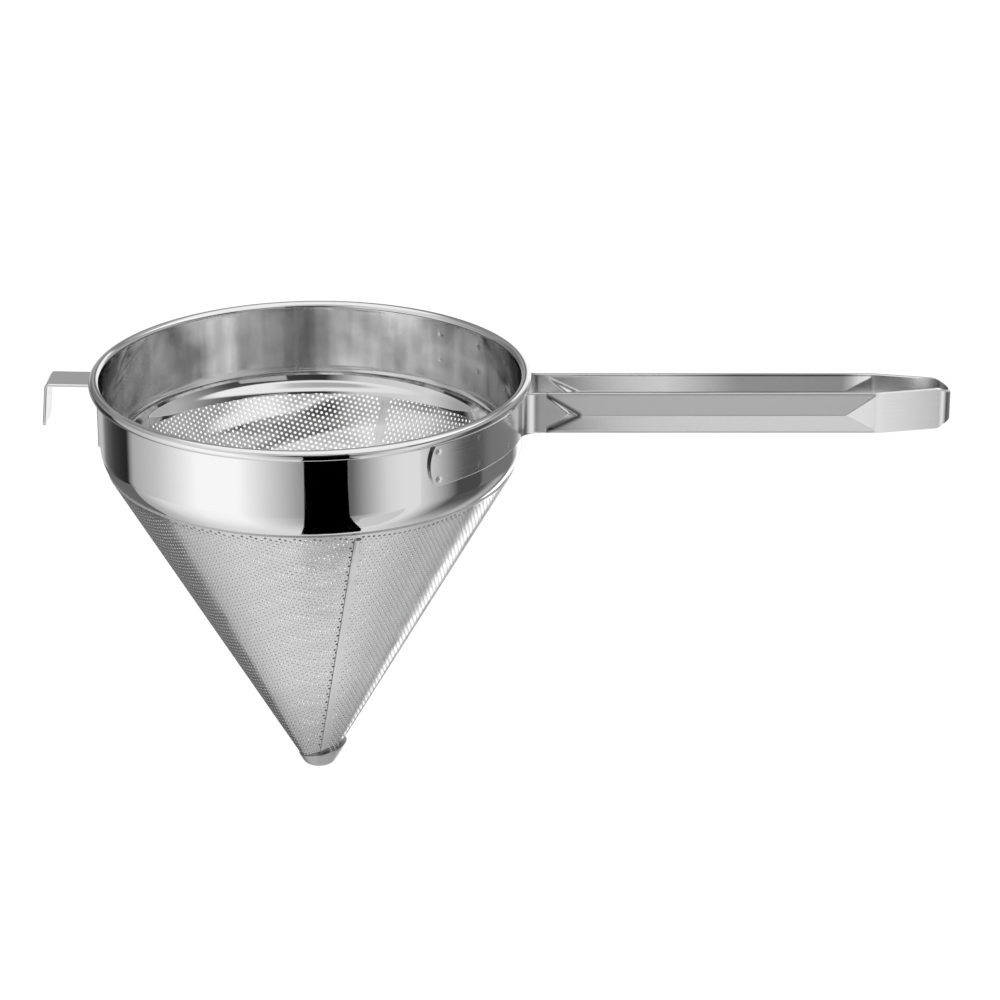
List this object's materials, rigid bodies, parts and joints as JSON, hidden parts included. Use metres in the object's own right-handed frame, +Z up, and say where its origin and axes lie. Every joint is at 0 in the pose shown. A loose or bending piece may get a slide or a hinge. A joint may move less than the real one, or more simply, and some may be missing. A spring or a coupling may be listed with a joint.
{
  "type": "chinois strainer",
  "caption": "Conical perforated kitchen strainer with a polished rolled-rim band, a capped tip, a long looped strap handle with pressed ribs, and a hook that rests on a pot's edge.",
  "frame": {"origin": "on the strainer's axis, in the plane through the middle of the rim bead, where the band's straight wall starts", "axes": "+Z up out of the mouth along the cone's axis, +X along the handle away from the band, +Y to the left of the handle as seen from above with the handle pointing away"},
  "size_m": [0.4182, 0.2032, 0.1981],
  "materials": {
    "mirror_band": "mirror-polished stainless steel sheet",
    "wire": "drawn steel wire, sealed in the rim",
    "perforated_sheet": "smooth perforated stainless steel sheet",
    "cap_sheet": "smooth stainless steel sheet",
    "satin_strap": "satin stainless steel strip",
    "weld": "weld in stainless steel, ground smooth on the seams"
  },
  "bodies": {
    "root": {"rim_band": "mirror_band", "rim_wire": "wire", "cone_gore_handle_side": "perforated_sheet", "cone_gore_hook_side": "perforated_sheet", "seam_weld_front": "weld", "seam_weld_back": "weld", "tip_cap": "cap_sheet", "handle_strap": "satin_strap", "pot_hook": "satin_strap", "handle_welds_front": "weld", "handle_welds_rear": "weld", "hook_welds": "weld"}
  },
  "joints": []
}
